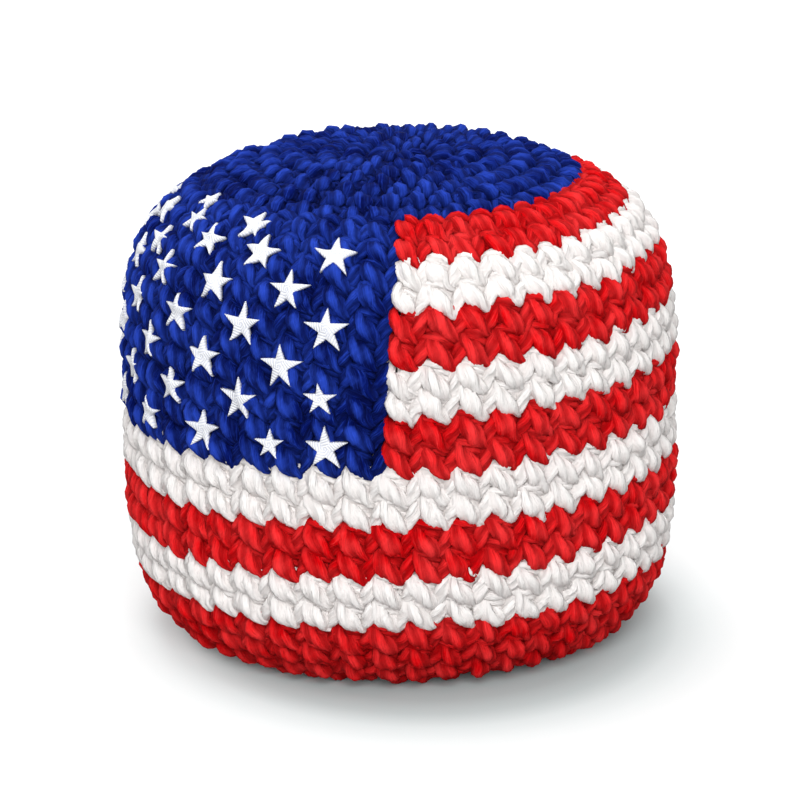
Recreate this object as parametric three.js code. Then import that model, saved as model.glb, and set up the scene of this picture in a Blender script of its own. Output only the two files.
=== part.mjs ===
// A crocheted footbag: a soft bag of single crochet, filled with loose pellets in a
// cloth liner. The main form is worked in climbing rounds, and each round's stitches hang
// their tips into the round below. Units are millimetres and +Z is up.
// The bag stands on its flattened base, and its front faces -Y.
import * as THREE from 'three';

// Outside of the cover
const coverDiameter = 60;
const coverHeight = 53;
const restFaceRadius = 20;
const lowerCornerHeight = 18;
const shoulderStartHeight = 31;
const lowerCornerFlatShare = 0.8;
const lowerCornerSideShare = 0.6;
const shoulderSideShare = 0.92;
const crownFlatShare = 0.62;

// The fabric of the cover
const coverWall = 3.2;
const seatGap = 0.3;
const roundsInBase = 10;
const roundsPerStripe = 2;
const stripesBelowField = 4;
const stripesBesideField = 5;
const roundsInCrown = 7;
const stitchesAround = 48;
const stitchesInField = 16;
const stitchesAddedPerRound = 6;
const fieldEdgeDegrees = -2;

// One stitch: a V of yarn whose tip hangs into the round below
const tipLength = 0.95;
const notchHeight = 0.8;
const tipDepth = 0.55;
const notchDepth = 1.1;
const edgeGap = 0.52;
const tipTurnShare = 0.7;
const swellTurnShare = 0.5;
const swellRoundShare = 0.5;
const swellEndDepth = 0.8;
const poleDimpleDepth = 0.8;

// Stars on the field
const starRadius = 2.5;
const starWaistShare = 0.37;
const starPoints = 5;
const starThickness = 0.4;
const starColumns = 11;
const starRows = 7;
const emptyStarCell = '1,6';
const topStarCell = '6,7';
const starColumnDegrees = 9.45;
const firstStarDegrees = 12.9;
const roundsToFirstStar = 0.85;
const roundsPerStarRow = 1.38;
const roundsLostPerColumn = 0.04;
const sizeLostPerColumn = 0.03;
const smallestStarShare = 0.85;
const fieldSink = starThickness + seatGap;

// Stars that aren't on the grid: the column, the round of the field and the share of full size
const movedStars = {
  '0,0': [0, 0.65, 1],
  '1,0': [1.25, 0.65, 0.7],
  '0,1': [0.1, 2.5, 0.74],
  '4,5': [3.8, 7.75, 0.85],
  '6,5': [5.85, 7.05, 0.8],
  '3,6': [2.65, 8.75, 0.85],
  '5,6': [4.95, 8.35, 0.7],
  '7,6': [6.95, 8.1, 0.75],
  '9,6': [9, 8.1, 0.75],
  '6,7': [5.25, 9.3, 0.55],
};

// Liner, pellets, tie and tail inside the cover
const linerGap = 0.6;
const linerThickness = 0.4;
const pelletGap = 0.35;
const pouchTopShare = 0.66;
const neckRadius = 2.6;
const neckClearance = 1.6;
const neckHeight = 3;
const gatherRadiusShares = [0.62, 0.3];
const gatherHeightShares = [0.8, 1.15];
const pelletHeadroom = 7.8;
const pelletMoundHeight = 1;
const pelletMoundShare = 0.5;
const tieThickness = 0.8;
const tieHeightShare = 0.5;
const yarnThickness = 1.7;
const tailRadius = 8;
const tailSweepDegrees = 200;
const tailClearance = 0.75;

// How finely round forms are divided
const stitchesPerInnerStep = 2;
const roundsPerInnerRow = 2;
const linerSides = 27;
const pelletSides = 18;
const linerRings = 9;
const tieSides = 6;
const tieSteps = 20;
const tailSides = 8;
const tailSteps = 18;
const probeTurn = 0.0003;

const degree = Math.PI / 180;
const fullTurn = 2 * Math.PI;
const coverRadius = coverDiameter / 2;
const firstFieldRound = roundsInBase + roundsPerStripe * stripesBelowField;
const firstCrownRound = firstFieldRound + roundsPerStripe * stripesBesideField;
const roundCount = firstCrownRound + roundsInCrown;
const fieldTurn = stitchesInField / stitchesAround;
const seamAngle = fieldEdgeDegrees * degree - fieldTurn * fullTurn;
const frontTurn = -seamAngle / fullTurn;
const profile = coverProfile();
const roundHeight = profile.getLength() / roundCount;
const restRounds = restFaceRadius / roundHeight;
const edgeGapRounds = edgeGap / roundHeight;
const pelletTopHeight = coverHeight - coverWall - pelletHeadroom;
const neckBaseHeight = pelletTopHeight + pelletMoundHeight + neckClearance;

const materials = {
  blue: { color: 0x1a2f9e, roughness: 0.9 },
  red: { color: 0xd9141f, roughness: 0.9 },
  white: { color: 0xf1eee8, roughness: 0.9 },
  star: { color: 0xf7f7f7, roughness: 0.7 },
  liner: { color: 0xd8d2c4, roughness: 0.8 },
  pellet: { color: 0xe6e3da, roughness: 0.5 },
  thread: { color: 0xf7f5f0, roughness: 0.9 },
};

// The outline from the middle of the base to the middle of the crown
function coverProfile() {
  const cornerWidth = coverRadius - restFaceRadius;
  const shoulderHeight = coverHeight - shoulderStartHeight;
  const outline = new THREE.CurvePath();
  const middle = new THREE.Vector2(0, 0);
  const restEdge = new THREE.Vector2(restFaceRadius, 0);
  const cornerTop = new THREE.Vector2(coverRadius, lowerCornerHeight);
  const shoulderStart = new THREE.Vector2(coverRadius, shoulderStartHeight);
  const crownMiddle = new THREE.Vector2(0, coverHeight);
  outline.add(new THREE.LineCurve(middle, restEdge));
  outline.add(new THREE.CubicBezierCurve(
    restEdge,
    new THREE.Vector2(restFaceRadius + cornerWidth * lowerCornerFlatShare, 0),
    new THREE.Vector2(coverRadius, lowerCornerHeight * (1 - lowerCornerSideShare)),
    cornerTop,
  ));
  outline.add(new THREE.LineCurve(cornerTop, shoulderStart));
  outline.add(new THREE.CubicBezierCurve(
    shoulderStart,
    new THREE.Vector2(coverRadius, shoulderStartHeight + shoulderHeight * shoulderSideShare),
    new THREE.Vector2(coverRadius * crownFlatShare, coverHeight),
    crownMiddle,
  ));
  return outline;
}

// Radius and height at a place along the outline, lifted off it along its normal
function outlinePoint(share, lift) {
  const point = profile.getPoint(share);
  const tangent = profile.getTangent(share);
  return new THREE.Vector2(point.x + tangent.y * lift, point.y - tangent.x * lift);
}

// The rounds climb one round in each turn, as crochet worked in a spiral does,
// and drop back within the last stitch, where the colours jog
function spiralClimb(turn, round) {
  const jog = 1 / stitchesAround;
  const climb = turn < 1 - jog ? turn : (1 - turn) * (1 - jog) / jog;
  const baseFade = (round - restRounds) / (roundsInBase - restRounds);
  const crownFade = (roundCount - round) / roundsInCrown;
  return (climb - frontTurn) * THREE.MathUtils.clamp(Math.min(baseFade, crownFade), 0, 1);
}

// A point of the cover: its turn from the seam, its round from the base, its lift
function coverPoint(turn, round, lift) {
  const climbed = round + spiralClimb(turn, round);
  const share = THREE.MathUtils.clamp(climbed / roundCount, 0, 1);
  const place = outlinePoint(share, lift);
  const angle = seamAngle + turn * fullTurn;
  return new THREE.Vector3(
    place.x * Math.sin(angle),
    -place.x * Math.cos(angle),
    place.y,
  );
}

// Collects the points and triangles of one closed solid
class Skin {
  constructor() {
    this.points = [];
    this.triangles = [];
  }

  addPoint(turn, round, lift) {
    this.points.push(coverPoint(turn, round, lift));
    return { turn, round, index: this.points.length - 1 };
  }

  // Joins two rows that run the same way, always stepping along the row that is behind,
  // and along the finer one where both stand level, so that neighbours get matching walls
  bridge(lower, upper, key) {
    let low = 0;
    let high = 0;
    while (low < lower.length - 1 || high < upper.length - 1) {
      const lowNext = low < lower.length - 1 ? lower[low + 1][key] : Infinity;
      const highNext = high < upper.length - 1 ? upper[high + 1][key] : Infinity;
      const stepLow = lowNext === highNext ? lower.length >= upper.length : lowNext < highNext;
      const third = stepLow ? lower[low + 1].index : upper[high + 1].index;
      this.triangles.push(lower[low].index, third, upper[high].index);
      if (stepLow) {
        low += 1;
      } else {
        high += 1;
      }
    }
  }

  bridgeAll(rows) {
    for (let i = 0; i < rows.length - 1; i += 1) {
      this.bridge(rows[i], rows[i + 1], 'turn');
    }
  }

  geometry() {
    const geometry = new THREE.BufferGeometry();
    const numbers = this.points.flatMap((point) => point.toArray());
    geometry.setAttribute('position', new THREE.Float32BufferAttribute(numbers, 3));
    geometry.setIndex(this.triangles);
    return geometry;
  }
}

// The turn of a place between two stitches. A panel's own ends are drawn in by a gap.
function stitchTurn(span, place, stitches) {
  const turn = span.start + place * (span.end - span.start) / stitches;
  return THREE.MathUtils.clamp(turn, span.start + span.inset, span.end - span.inset);
}

// A row's last point: its own on a panel, the first one again on a full ring
function closeRow(skin, row, span, round, lift) {
  if (span.ring) {
    row.push({ ...row[0], turn: row[0].turn + 1 });
  } else {
    row.push(skin.addPoint(stitchTurn(span, 1, 1), round, lift));
  }
  return row;
}

// The line where one round meets the next: a notch and a hanging tip for each stitch
function stitchEdge(skin, span, round, stitches, shift, sink) {
  const row = [];
  const notchRound = round + shift + notchHeight / roundHeight;
  const tipRound = round + shift - tipLength / roundHeight;
  for (let i = 0; i < stitches; i += 1) {
    const tipTurn = stitchTurn(span, i + tipTurnShare, stitches);
    row.push(skin.addPoint(stitchTurn(span, i, stitches), notchRound, -notchDepth - sink));
    row.push(skin.addPoint(tipTurn, tipRound, -tipDepth - sink));
  }
  return closeRow(skin, row, span, notchRound, -notchDepth - sink);
}

// The swell along the middle of a round, highest on each stitch
function stitchSwell(skin, span, round, stitches, sink) {
  const row = [];
  const middle = round + swellRoundShare;
  if (!span.ring) {
    row.push(skin.addPoint(stitchTurn(span, 0, 1), middle, -swellEndDepth - sink));
  }
  for (let i = 0; i < stitches; i += 1) {
    row.push(skin.addPoint(stitchTurn(span, i + swellTurnShare, stitches), middle, -sink));
  }
  return closeRow(skin, row, span, middle, -swellEndDepth - sink);
}

// A smooth row, with fewer points than there are stitches
function plainRow(skin, span, round, stitches, lift) {
  const row = [];
  for (let i = 0; i < stitches; i += stitchesPerInnerStep) {
    row.push(skin.addPoint(stitchTurn(span, i, stitches), round, lift));
  }
  return closeRow(skin, row, span, round, lift);
}

// The outer rows of a piece that runs over whole rounds, all with the same stitches.
// Only the rows between its two edges are sunk, so that it still meets its neighbours.
function stitchRows(skin, span, firstRound, lastRound, stitches, sink) {
  const gap = edgeGapRounds / 2;
  const rows = [stitchEdge(skin, span, firstRound, stitches, gap, 0)];
  for (let round = firstRound; round < lastRound; round += 1) {
    rows.push(stitchSwell(skin, span, round, stitches, sink));
    if (round + 1 < lastRound) {
      rows.push(stitchEdge(skin, span, round + 1, stitches, 0, sink));
    }
  }
  rows.push(stitchEdge(skin, span, lastRound, stitches, -gap, 0));
  return rows;
}

// The smooth rows on the inside of the fabric
function innerRows(skin, span, firstRound, lastRound, stitches) {
  const rows = [];
  for (let round = firstRound; round <= lastRound; round += roundsPerInnerRow) {
    const lower = round === firstRound ? edgeGapRounds / 2 : 0;
    const upper = round === lastRound ? -edgeGapRounds / 2 : 0;
    rows.push(plainRow(skin, span, round + lower + upper, stitches, -coverWall));
  }
  return rows;
}

// A band of the cover, a full ring or a panel with two end walls
function bandGeometry(span, firstRound, lastRound, stitches, sink) {
  const skin = new Skin();
  const outer = stitchRows(skin, span, firstRound, lastRound, stitches, sink);
  const inner = innerRows(skin, span, firstRound, lastRound, stitches);
  skin.bridgeAll([...outer, ...inner.toReversed(), outer[0]]);
  if (!span.ring) {
    const startOuter = outer.map((row) => row[0]);
    const startInner = inner.map((row) => row[0]);
    const endOuter = outer.map((row) => row.at(-1));
    const endInner = inner.map((row) => row.at(-1));
    skin.bridge(startOuter, startInner, 'round');
    skin.bridge(endInner, endOuter, 'round');
  }
  return skin.geometry();
}

// The crown: rounds that lose the same number of stitches each time, up to its middle
function crownGeometry(span) {
  const skin = new Skin();
  const gap = edgeGapRounds / 2;
  const outer = [stitchEdge(skin, span, firstCrownRound, stitchesAround, gap, 0)];
  const inner = [plainRow(skin, span, firstCrownRound + gap, stitchesAround, -coverWall)];
  for (let round = firstCrownRound; round < roundCount; round += 1) {
    const stitches = (roundCount - round) * stitchesAddedPerRound;
    if (round > firstCrownRound) {
      outer.push(stitchEdge(skin, span, round, stitches, 0, 0));
    }
    outer.push(stitchSwell(skin, span, round, stitches, 0));
    if (round > firstCrownRound && (roundCount - round) % roundsPerInnerRow === 1) {
      inner.push(plainRow(skin, span, round, stitches, -coverWall));
    }
  }
  const top = [skin.addPoint(span.end, roundCount, -poleDimpleDepth)];
  const underside = [skin.addPoint(span.end, roundCount, -coverWall)];
  skin.bridgeAll([...outer, top]);
  skin.bridgeAll([underside, ...inner.toReversed(), outer[0]]);
  return skin.geometry();
}

// The base: a flat rest face, then rounds of full width up to the lowest stripe
function baseGeometry(span) {
  const skin = new Skin();
  const gap = edgeGapRounds / 2;
  const firstShapedRound = Math.ceil(restRounds);
  const outer = [plainRow(skin, span, restRounds, stitchesAround, 0)];
  const inner = [plainRow(skin, span, restRounds, stitchesAround, -coverWall)];
  for (let round = firstShapedRound; round < roundsInBase; round += 1) {
    outer.push(stitchEdge(skin, span, round, stitchesAround, 0, 0));
    outer.push(stitchSwell(skin, span, round, stitchesAround, 0));
    inner.push(plainRow(skin, span, round, stitchesAround, -coverWall));
  }
  outer.push(stitchEdge(skin, span, roundsInBase, stitchesAround, -gap, 0));
  inner.push(plainRow(skin, span, roundsInBase - gap, stitchesAround, -coverWall));
  const middle = [skin.addPoint(span.end, 0, 0)];
  const floor = [skin.addPoint(span.end, 0, -coverWall)];
  skin.bridgeAll([middle, ...outer, ...inner.toReversed(), floor]);
  return skin.geometry();
}

// A flat five-pointed star, its back on the drawing plane
function starGeometry(radius) {
  const outline = new THREE.Shape();
  for (let i = 0; i < starPoints * 2; i += 1) {
    const reach = i % 2 === 0 ? radius : radius * starWaistShare;
    const angle = fullTurn / 4 + i * Math.PI / starPoints;
    const x = reach * Math.cos(angle);
    const y = reach * Math.sin(angle);
    if (i === 0) {
      outline.moveTo(x, y);
    } else {
      outline.lineTo(x, y);
    }
  }
  outline.closePath();
  return new THREE.ExtrudeGeometry(outline, { depth: starThickness, bevelEnabled: false });
}

// Turns and moves a star so that it lies on the field with one point towards the crown
function seatStar(mesh, turn, round) {
  const seat = coverPoint(turn, round, -starThickness);
  const outward = coverPoint(turn, round, coverWall).sub(seat).normalize();
  const along = coverPoint(turn + probeTurn, round, -starThickness).sub(seat);
  along.addScaledVector(outward, -along.dot(outward)).normalize();
  const towardsCrown = new THREE.Vector3().crossVectors(outward, along);
  const turnTo = new THREE.Matrix4().makeBasis(along, towardsCrown, outward);
  mesh.quaternion.setFromRotationMatrix(turnTo);
  mesh.position.copy(seat);
}

// The column, round and size share of a star. The grid drops and shrinks to the left.
function starPlace(column, row) {
  const shrunk = Math.max(1 - sizeLostPerColumn * column, smallestStarShare);
  const round = roundsToFirstStar + row * roundsPerStarRow - column * roundsLostPerColumn;
  return movedStars[`${column},${row}`] ?? [column, round, shrunk];
}

// The cells of the staggered grid, with one more in the lower corner and one at the top
function starCells() {
  const cells = ['0,0'];
  for (let row = 0; row < starRows; row += 1) {
    for (let column = (row + 1) % 2; column < starColumns; column += 2) {
      cells.push(`${column},${row}`);
    }
  }
  cells.push(topStarCell);
  return cells.filter((cell) => cell !== emptyStarCell);
}

// The liner: a pouch just inside the cover, gathered to an open neck
function linerGeometry() {
  const outside = -coverWall - linerGap;
  const inside = outside - linerThickness;
  const pouch = (lift) => {
    const points = [];
    for (let i = 0; i <= linerRings; i += 1) {
      points.push(outlinePoint(pouchTopShare * i / linerRings, lift));
    }
    return points;
  };
  const gather = (points, thickness) => {
    const edge = points.at(-1);
    gatherRadiusShares.forEach((share, i) => {
      const height = THREE.MathUtils.lerp(edge.y, neckBaseHeight, gatherHeightShares[i]);
      points.push(new THREE.Vector2(edge.x * share, height));
    });
    points.push(new THREE.Vector2(neckRadius - thickness, neckBaseHeight));
    points.push(new THREE.Vector2(neckRadius - thickness, neckBaseHeight + neckHeight));
    return points;
  };
  const outer = gather(pouch(outside), 0);
  const inner = gather(pouch(inside), linerThickness);
  return upright(new THREE.LatheGeometry([...outer, ...inner.toReversed()], linerSides, seamAngle));
}

// The pellets, as the one body that they fill
function pelletGeometry() {
  const lift = -coverWall - linerGap - linerThickness - pelletGap;
  const points = [];
  let ring = outlinePoint(0, lift);
  for (let i = 1; ring.y < pelletTopHeight && i <= linerRings; i += 1) {
    points.push(ring);
    ring = outlinePoint(pouchTopShare * i / linerRings, lift);
  }
  const rim = points.at(-1);
  points.push(new THREE.Vector2(rim.x * pelletMoundShare, pelletTopHeight));
  points.push(new THREE.Vector2(0, pelletTopHeight + pelletMoundHeight));
  return upright(new THREE.LatheGeometry(points, pelletSides, seamAngle));
}

// The thread tied round the liner's neck
function tieGeometry() {
  const reach = neckRadius + seatGap + tieThickness / 2;
  return new THREE.TorusGeometry(reach, tieThickness / 2, tieSides, tieSteps);
}

// The end of the blue yarn, lying in an arc under the crown
function tailGeometry() {
  const points = [];
  for (let i = 0; i <= tailSteps; i += 1) {
    const angle = tailSweepDegrees * degree * i / tailSteps;
    points.push(new THREE.Vector3(tailRadius * Math.sin(angle), -tailRadius * Math.cos(angle), 0));
  }
  const section = new THREE.Shape();
  section.absarc(0, 0, yarnThickness / 2, 0, fullTurn, false);
  return new THREE.ExtrudeGeometry(section, {
    steps: tailSteps,
    curveSegments: tailSides / 2,
    bevelEnabled: false,
    extrudePath: new THREE.CatmullRomCurve3(points),
  });
}

// Lathes turn about +Y here, so they are stood up
function upright(geometry) {
  return geometry.rotateX(fullTurn / 4);
}

function addPiece(name, geometry, settings) {
  const mesh = new THREE.Mesh(geometry, new THREE.MeshStandardMaterial(settings));
  mesh.name = name;
  footbag.add(mesh);
  return mesh;
}

// The crown, the star field, the nine stripes from the top down, and the base
function addCover() {
  const ring = { start: 0, end: 1, ring: true, inset: 0 };
  const inset = seatGap / (fullTurn * (restFaceRadius - coverWall)) / 2;
  const field = { start: 0, end: fieldTurn, ring: false, inset };
  const beside = { start: fieldTurn, end: 1, ring: false, inset };
  const stitchesBeside = stitchesAround - stitchesInField;
  addPiece('base', baseGeometry(ring), materials.red);
  addPiece('crown', crownGeometry(ring), materials.blue);
  addPiece(
    'star_field',
    bandGeometry(field, firstFieldRound, firstCrownRound, stitchesInField, fieldSink),
    materials.blue,
  );
  const counts = { red: 0, white: 0 };
  const stripeCount = stripesBelowField + stripesBesideField;
  for (let i = 0; i < stripeCount; i += 1) {
    const colour = i % 2 === 0 ? 'red' : 'white';
    counts[colour] += 1;
    const lastRound = firstCrownRound - i * roundsPerStripe;
    const firstRound = lastRound - roundsPerStripe;
    const besideField = firstRound >= firstFieldRound;
    const span = besideField ? beside : ring;
    const stitches = besideField ? stitchesBeside : stitchesAround;
    addPiece(
      `${colour}_stripe_${counts[colour]}`,
      bandGeometry(span, firstRound, lastRound, stitches, 0),
      materials[colour],
    );
  }
}

function addStars() {
  starCells().forEach((cell, i) => {
    const [columns, rounds, sizeShare] = starPlace(...cell.split(',').map(Number));
    const degreesFromEdge = firstStarDegrees + columns * starColumnDegrees;
    const turn = fieldTurn - degreesFromEdge * degree / fullTurn;
    const name = `star_${String(i + 1).padStart(2, '0')}`;
    const mesh = addPiece(name, starGeometry(starRadius * sizeShare), materials.star);
    seatStar(mesh, turn, firstFieldRound + rounds);
  });
}

function addInside() {
  addPiece('liner', linerGeometry(), materials.liner);
  addPiece('pellet_fill', pelletGeometry(), materials.pellet);
  const tie = addPiece('liner_tie', tieGeometry(), materials.thread);
  tie.position.z = neckBaseHeight + neckHeight * tieHeightShare;
  const tail = addPiece('closing_tail', tailGeometry(), materials.blue);
  tail.position.z = coverHeight - coverWall - tailClearance - yarnThickness / 2;
}

const footbag = new THREE.Group();
footbag.name = 'footbag';
addCover();
addStars();
addInside();

export default footbag;
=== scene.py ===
# %% [markdown]
# # A crocheted footbag
# A footbag is a small soft ball for kicking. This one is crocheted: every colour band is made
# of single crochet stitches, worked round and round in a climbing spiral. The lesson builds
# each stitch as real strands of plied yarn, because at this size the stitches are the shape.

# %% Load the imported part
import math

import bpy
import numpy as np
from mathutils import Matrix, Vector
from mathutils.bvhtree import BVHTree


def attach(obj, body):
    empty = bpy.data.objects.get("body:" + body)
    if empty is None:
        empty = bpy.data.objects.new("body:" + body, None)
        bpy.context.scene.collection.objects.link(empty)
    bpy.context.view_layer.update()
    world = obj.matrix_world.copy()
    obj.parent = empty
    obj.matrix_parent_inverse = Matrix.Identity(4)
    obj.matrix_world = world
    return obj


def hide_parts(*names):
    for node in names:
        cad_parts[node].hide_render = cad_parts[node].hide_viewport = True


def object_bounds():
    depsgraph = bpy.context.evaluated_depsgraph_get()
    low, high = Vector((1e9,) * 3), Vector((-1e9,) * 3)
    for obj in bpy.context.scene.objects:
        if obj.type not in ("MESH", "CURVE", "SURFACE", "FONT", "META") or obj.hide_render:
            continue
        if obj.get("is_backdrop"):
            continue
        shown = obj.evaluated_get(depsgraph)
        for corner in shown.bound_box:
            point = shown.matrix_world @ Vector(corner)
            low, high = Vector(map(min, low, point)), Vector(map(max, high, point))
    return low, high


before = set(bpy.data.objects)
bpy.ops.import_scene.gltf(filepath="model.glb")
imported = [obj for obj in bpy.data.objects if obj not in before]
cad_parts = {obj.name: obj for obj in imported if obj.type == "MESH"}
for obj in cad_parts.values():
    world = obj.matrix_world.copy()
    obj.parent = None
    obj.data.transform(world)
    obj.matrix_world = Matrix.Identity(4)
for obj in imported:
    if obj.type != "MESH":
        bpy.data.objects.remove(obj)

MM = 0.001
cad_low, cad_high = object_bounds()
print("CAD box in mm:", [round(x / MM, 1) for x in cad_high - cad_low])

# %% [markdown]
# ## The camera
# The bag is seen from the front and a little above, from far enough away that its sides
# hardly converge. A long lens gives that look. The picture is tipped by half a degree.
# The camera could be placed by eye, but measuring the outline gives the angles directly.

# %% Place the camera
CAMERA_DISTANCE = 429
CAMERA_ELEVATION = math.radians(16.6)
CAMERA_ROLL = math.radians(0.57)
PIXELS_PER_MM = 9.2
PICTURE_SIZE = 800
AIM_BELOW_MIDDLE = 2.2
SENSOR_WIDTH = 36

camera = bpy.data.objects.new("camera", bpy.data.cameras.new("camera"))
bpy.context.scene.collection.objects.link(camera)
bpy.context.scene.camera = camera
camera.data.sensor_width = SENSOR_WIDTH
camera.data.lens = SENSOR_WIDTH * PIXELS_PER_MM * CAMERA_DISTANCE / PICTURE_SIZE
camera.data.clip_start = 10 * MM

middle = Vector((0, 0, (cad_low.z + cad_high.z) / 2))
back = Vector((0, -math.cos(CAMERA_ELEVATION), math.sin(CAMERA_ELEVATION)))
camera.location = middle + back * CAMERA_DISTANCE * MM
aim = middle - Vector((0, 0, AIM_BELOW_MIDDLE * MM))
turned = (aim - camera.location).to_track_quat("-Z", "Y").to_matrix()
camera.rotation_euler = (turned @ Matrix.Rotation(-CAMERA_ROLL, 3, "Z")).to_euler()
print("lens in mm:", round(camera.data.lens, 1))

# %% [markdown]
# ## Shader maths in plain Python
# A finish is a small network of nodes. Written out node by node it is hard to read, so one
# small class wraps a socket and lets ordinary operators add the Math nodes. Anything else
# comes from one method that takes a node's type, its settings and what feeds its sockets.

# %% A wire with operators
class Wire:
    """One output socket, with the operators that a finish needs."""

    def __init__(self, finish, socket):
        self.finish = finish
        self.socket = socket

    def _math(self, operation, *inputs):
        return self.finish.node("ShaderNodeMath", {"operation": operation}, dict(enumerate(inputs)))

    def __add__(self, other):
        return self._math("ADD", self, other)

    def __sub__(self, other):
        return self._math("SUBTRACT", self, other)

    def __mul__(self, other):
        return self._math("MULTIPLY", self, other)

    def cosine(self):
        return self._math("COSINE", self)


# %% A material built from nodes
class Finish:
    """A material that is built up from nodes."""

    def __init__(self, name):
        self.material = bpy.data.materials.new(name)
        self.material.use_nodes = True
        self.tree = self.material.node_tree
        self.tree.nodes.clear()

    def node(self, kind, settings=None, sockets=None, output=0):
        made = self.tree.nodes.new(kind)
        for name, value in (settings or {}).items():
            if name == "stops":
                stops = made.color_ramp.elements
                while len(stops) < len(value):
                    stops.new(1)
                for stop, (place, colour) in zip(stops, value):
                    stop.position = place
                    stop.color = colour
            else:
                setattr(made, name, value)
        for name, value in (sockets or {}).items():
            if isinstance(value, Wire):
                self.tree.links.new(value.socket, made.inputs[name])
            else:
                made.inputs[name].default_value = value
        return Wire(self, made.outputs[output] if len(made.outputs) else None)

    def mix(self, share, first, second):
        settings = {"data_type": "RGBA"}
        return self.node("ShaderNodeMix", settings, {0: share, 6: first, 7: second}, output=2)

    def stretched(self, vector, scale):
        return self.node("ShaderNodeVectorMath", {"operation": "MULTIPLY"}, {0: vector, 1: scale})

    def noise(self, vector, scale, detail=2.0, roughness=0.5):
        sockets = {"Vector": vector, "Scale": scale, "Detail": detail, "Roughness": roughness}
        return self.node("ShaderNodeTexNoise", None, sockets)

    def ramp(self, share, *stops):
        shades = [(place, (shade, shade, shade, 1)) for place, shade in stops]
        return self.node("ShaderNodeValToRGB", {"stops": shades}, {0: share})

    def bump(self, strength, distance, height):
        sockets = {"Strength": strength, "Distance": distance, "Height": height}
        return self.node("ShaderNodeBump", None, sockets)

    def finished(self, **sockets):
        """Ends the network in one shader; a socket's name has _ for each space."""
        sockets = {name.replace("_", " "): value for name, value in sockets.items()}
        shader = self.node("ShaderNodeBsdfPrincipled", None, sockets)
        self.node("ShaderNodeOutputMaterial", None, {"Surface": shader})
        return self.material


# %% A mesh with its material
def placed(name, mesh, material):
    """Puts a mesh in the scene, with its finish."""
    mesh.materials.append(material)
    piece = bpy.data.objects.new(name, mesh)
    bpy.context.scene.collection.objects.link(piece)
    return piece


# %% [markdown]
# ## The outline of the bag
# The pellets press the cover into a low barrel: flat where it stands, swelling to straight
# sides and rounding over to a gently domed crown. It could be simulated as cloth over grains,
# but the outline can be measured, so the same curves as the part's are used here.

# %% The outline as a long run of points
COVER_RADIUS = 30.0
COVER_HEIGHT = 53.0
REST_RADIUS = 20.0
CORNER_HEIGHT = 18.0
SHOULDER_HEIGHT = 31.0
CORNER_FULLNESS = 0.8
CORNER_PULL = 0.4
SHOULDER_FULLNESS = 0.92
CROWN_FULLNESS = 0.62
LINE_STEPS = 60
CURVE_STEPS = 400


def bezier(a, b, c, d):
    t = np.linspace(0, 1, CURVE_STEPS)[:, None]
    a, b, c, d = (np.array(p, float) for p in (a, b, c, d))
    return (1 - t) ** 3 * a + 3 * (1 - t) ** 2 * t * b + 3 * (1 - t) * t**2 * c + t**3 * d


corner_reach = REST_RADIUS + (COVER_RADIUS - REST_RADIUS) * CORNER_FULLNESS
shoulder_reach = SHOULDER_HEIGHT + (COVER_HEIGHT - SHOULDER_HEIGHT) * SHOULDER_FULLNESS
corner_top, shoulder = (COVER_RADIUS, CORNER_HEIGHT), (COVER_RADIUS, SHOULDER_HEIGHT)
outline = np.concatenate([
    np.linspace((0, 0), (REST_RADIUS, 0), LINE_STEPS)[:-1],
    bezier((REST_RADIUS, 0), (corner_reach, 0), (COVER_RADIUS, CORNER_HEIGHT * CORNER_PULL),
           corner_top)[:-1],
    np.linspace(corner_top, shoulder, LINE_STEPS)[:-1],
    bezier(shoulder, (COVER_RADIUS, shoulder_reach),
           (COVER_RADIUS * CROWN_FULLNESS, COVER_HEIGHT), (0, COVER_HEIGHT)),
])
gaps = np.linalg.norm(np.diff(outline, axis=0), axis=1)
run = np.concatenate([[0], np.cumsum(gaps)])
slope = np.gradient(outline, run, axis=0)
facing = np.stack([slope[:, 1], -slope[:, 0]], axis=1)
facing /= np.linalg.norm(facing, axis=1)[:, None]
print("length of the outline in mm:", round(float(run[-1]), 1))

# %% [markdown]
# ## Rounds and stitches as coordinates
# Crochet has its own map: how far round a place is, how many rounds up, and how far out from
# the fabric's outer face. Every strand below is drawn on that map, and one function carries it
# onto the bag. Since the rounds climb by one in each turn, it adds the spiral too. A real bag
# slumps a little, so at the back the crown's edge sags and the top stripe is drawn in.

# %% From the map to the bag
ROUNDS = 35
STITCHES_AROUND = 48
STITCHES_ADDED = 6
SEAM_DEGREES = 122
SEAM = math.radians(-SEAM_DEGREES)
FRONT_TURN = SEAM_DEGREES / 360
CLIMB_FROM = 2
CLIMB_TO = 10
SAG, SAG_ROUND, SAG_REACH = 0.5, 28, 6
DIP, DIP_ROUND, DIP_REACH = 1.1, 27, 1.7


def on_bag(turn, rounds, lift):
    """Points of the bag in mm, and the directions that face out there."""
    turn, rounds, lift = np.broadcast_arrays(turn, rounds, lift)
    climbing = np.clip(np.minimum(rounds / CLIMB_FROM, (ROUNDS - rounds) / CLIMB_TO), 0, 1)
    angle = SEAM + turn * 2 * math.pi
    behind = np.sin(angle / 2) ** 4
    sag = SAG * behind * np.clip(1 - abs(rounds - SAG_ROUND) / SAG_REACH, 0, 1)
    lift = lift - DIP * behind * np.clip(DIP_REACH - abs(rounds - DIP_ROUND), 0, 1)
    climbed = rounds + (turn - FRONT_TURN) * climbing - sag
    along = np.clip(climbed / ROUNDS, 0, 1) * run[-1]
    out, up = (np.interp(along, run, facing[:, i]) for i in (0, 1))
    radius = np.interp(along, run, outline[:, 0]) + out * lift
    height = np.interp(along, run, outline[:, 1]) + up * lift
    points = np.stack([radius * np.sin(angle), -radius * np.cos(angle), height], axis=-1)
    return points, np.stack([out * np.sin(angle), -out * np.cos(angle), up], axis=-1)


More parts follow.
